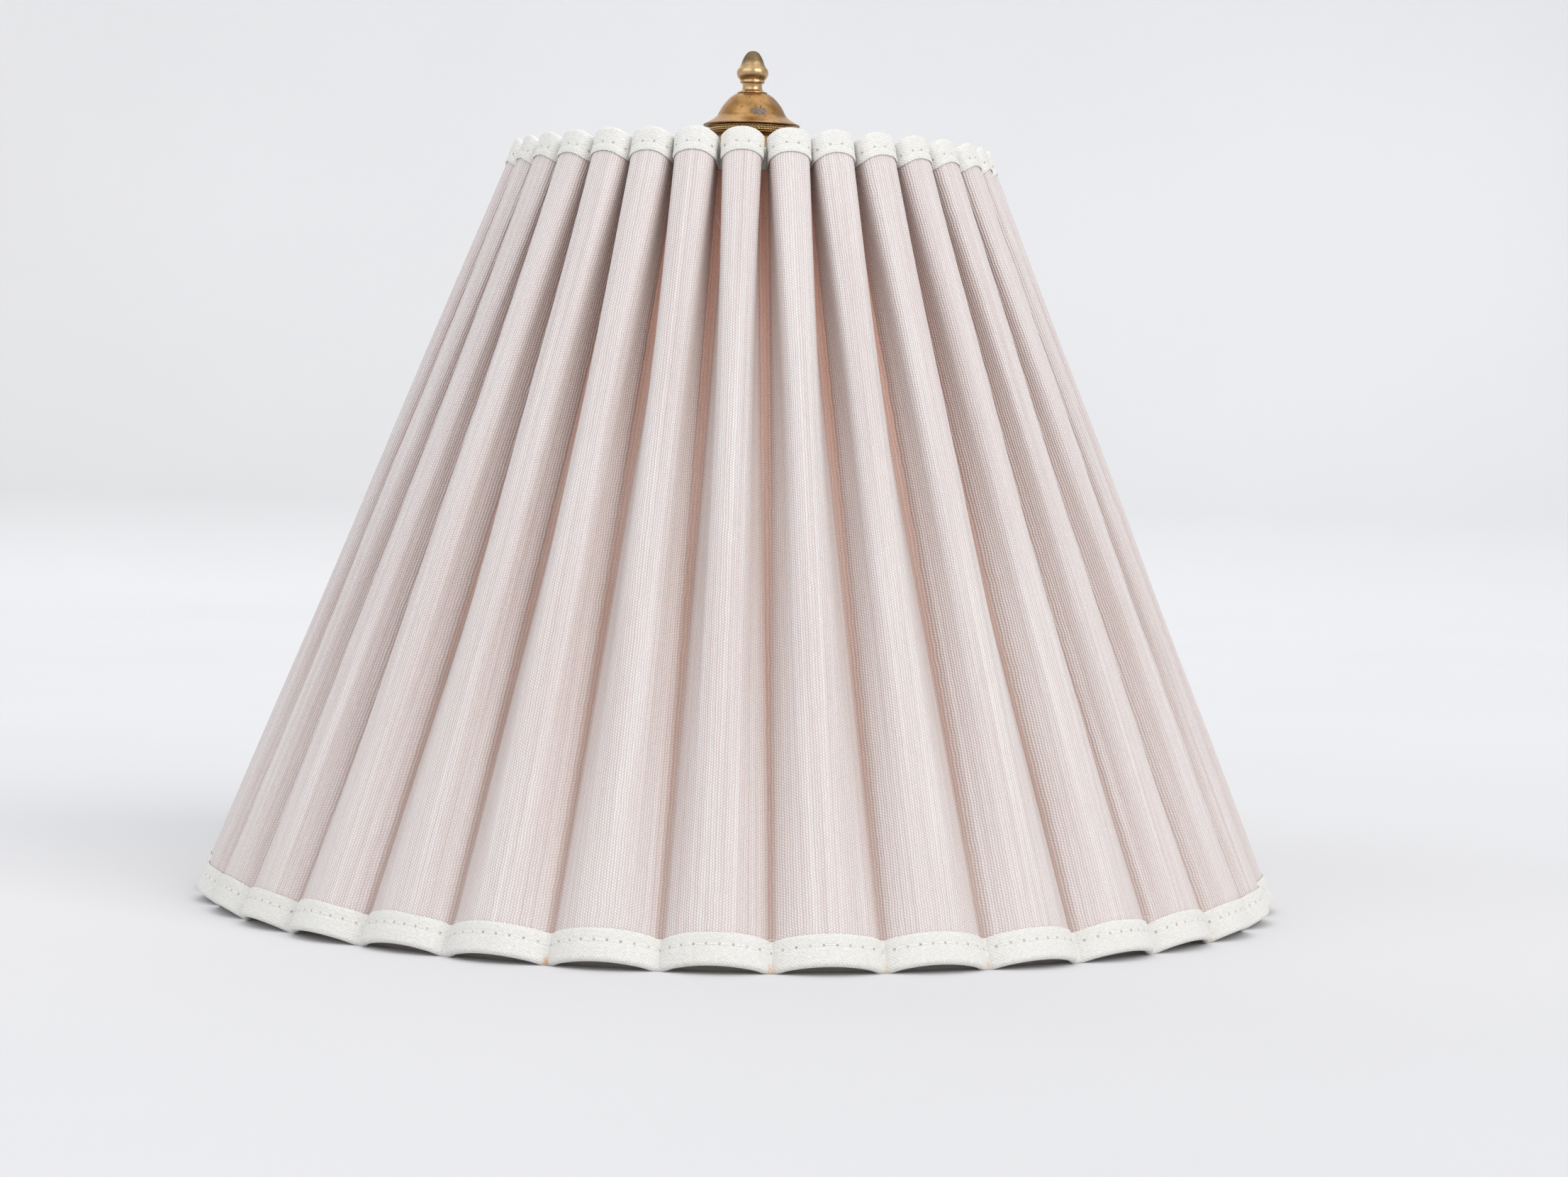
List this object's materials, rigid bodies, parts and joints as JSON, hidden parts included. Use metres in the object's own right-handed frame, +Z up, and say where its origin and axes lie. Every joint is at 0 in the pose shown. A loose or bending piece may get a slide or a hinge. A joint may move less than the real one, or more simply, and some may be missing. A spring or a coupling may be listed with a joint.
{
  "type": "lamp shade",
  "caption": "Fluted conical lamp shade: textile cover bound with tape on a wire frame, with a spider fitter, a brass cap and a finial that unscrews.",
  "frame": {"origin": "centre of the shade's axis, at the level of the lower edge's lowest points, which it stands on", "axes": "+Z up along the shade's axis, towards the finial; -Y is the front, which faces a valley between two flutes"},
  "size_m": [0.3888, 0.3883, 0.3076],
  "materials": {
    "textile": "dusty pink ground with raised off-white threads, softly lustrous",
    "backing": "matt cream backing sheet",
    "tape": "ivory woven cotton tape",
    "wire": "dull drawn steel wire",
    "brass": "aged brass with a dark patina in the hollows"
  },
  "bodies": {
    "shade": {"cover": "textile", "liner": "backing", "top_binding": "tape", "bottom_binding": "tape", "top_ring": "wire", "bottom_ring": "wire", "upright_1": "wire", "upright_2": "wire", "upright_3": "wire", "spider_arm_1": "wire", "spider_arm_2": "wire", "spider_arm_3": "wire", "hub_plate": "wire", "hub_bush": "brass"},
    "cap": {"cap_drum": "brass", "bead_band": "brass", "dome_cap": "brass"},
    "finial": {"finial_knob": "brass"}
  },
  "joints": [
    {"name": "cap_lift", "type": "slide", "parent": "shade", "child": "cap", "axis": [0, 0, 1], "range_m": [0, 0.008]},
    {"name": "finial_turn", "type": "hinge", "parent": "cap", "child": "finial", "pos_m": [0, 0, 0.291], "axis": [0, 0, 1], "range_deg": [0, 2880]}
  ],
  "couplings": [
    {"joint": "finial_turn", "follows": "cap_lift", "rad_per_m": 6283.2}
  ]
}
